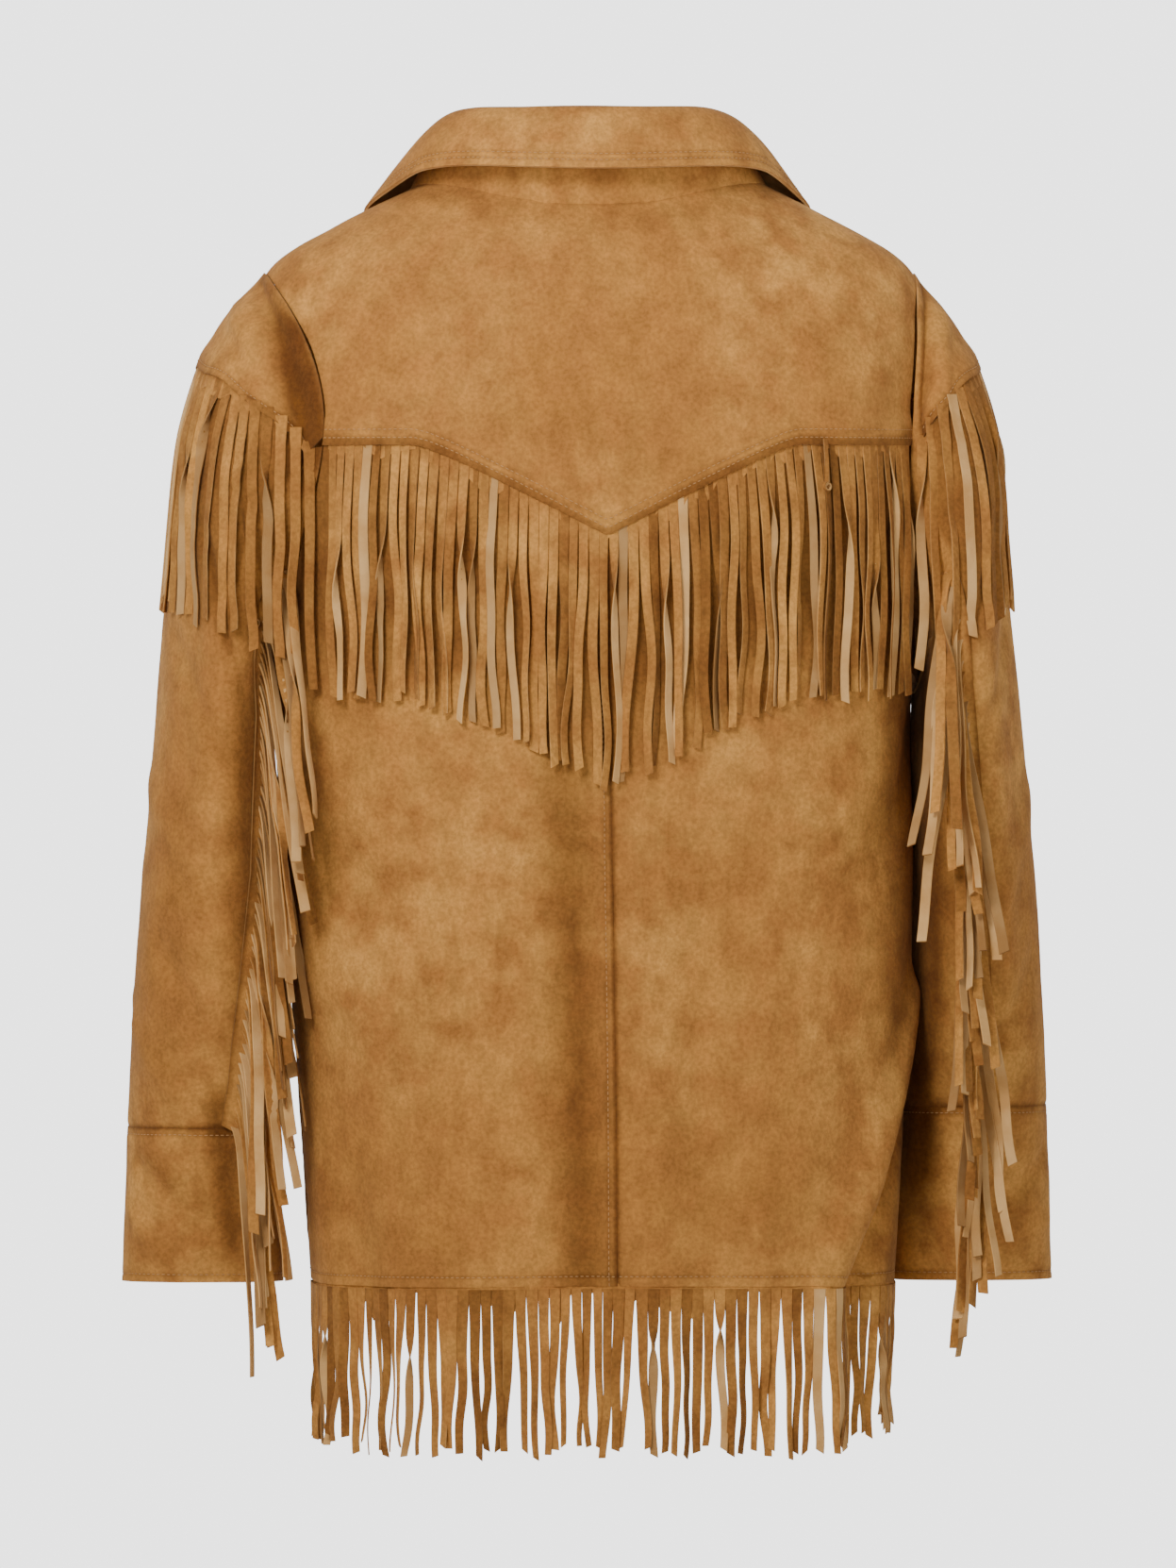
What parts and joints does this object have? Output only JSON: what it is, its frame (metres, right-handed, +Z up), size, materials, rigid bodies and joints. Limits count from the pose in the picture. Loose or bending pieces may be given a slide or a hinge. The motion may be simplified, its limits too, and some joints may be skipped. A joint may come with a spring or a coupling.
{
  "type": "fringe jacket",
  "caption": "Suede jacket held open as if worn, with a turned-down collar, a pointed back yoke, long cuffed sleeves and fringe on yoke, sleeve caps, sleeve seams and back hem.",
  "frame": {"origin": "middle of the neck opening, level with the back of the neck seam, where the wearer's neck and shoulders hold the jacket", "axes": "+Z up, the fronts face -Y, the back faces +Y and the wearer's left is +X"},
  "size_m": [0.557, 0.2808, 0.8111],
  "materials": {
    "suede": "matt tan suede with a soft nap and darker and lighter patches",
    "suede_fringe": "matt tan suede cut into strands, paler on the flesh side",
    "horn": "dark brown horn-like plastic with a soft gloss"
  },
  "bodies": {
    "root": {"back_left": "suede", "back_right": "suede", "yoke": "suede", "front_left": "suede", "front_right": "suede", "collar_stand": "suede", "collar_leaf": "suede", "sleeve_cap_left": "suede", "sleeve_cap_right": "suede", "sleeve_left": "suede", "sleeve_right": "suede", "cuff_left": "suede", "cuff_right": "suede", "fringe_yoke": "suede_fringe", "fringe_hem": "suede_fringe", "fringe_cap_left": "suede_fringe", "fringe_cap_right": "suede_fringe", "fringe_sleeve_left": "suede_fringe", "fringe_sleeve_right": "suede_fringe", "button_1": "horn", "button_2": "horn", "button_3": "horn", "button_4": "horn", "button_5": "horn", "button_6": "horn"}
  },
  "joints": []
}
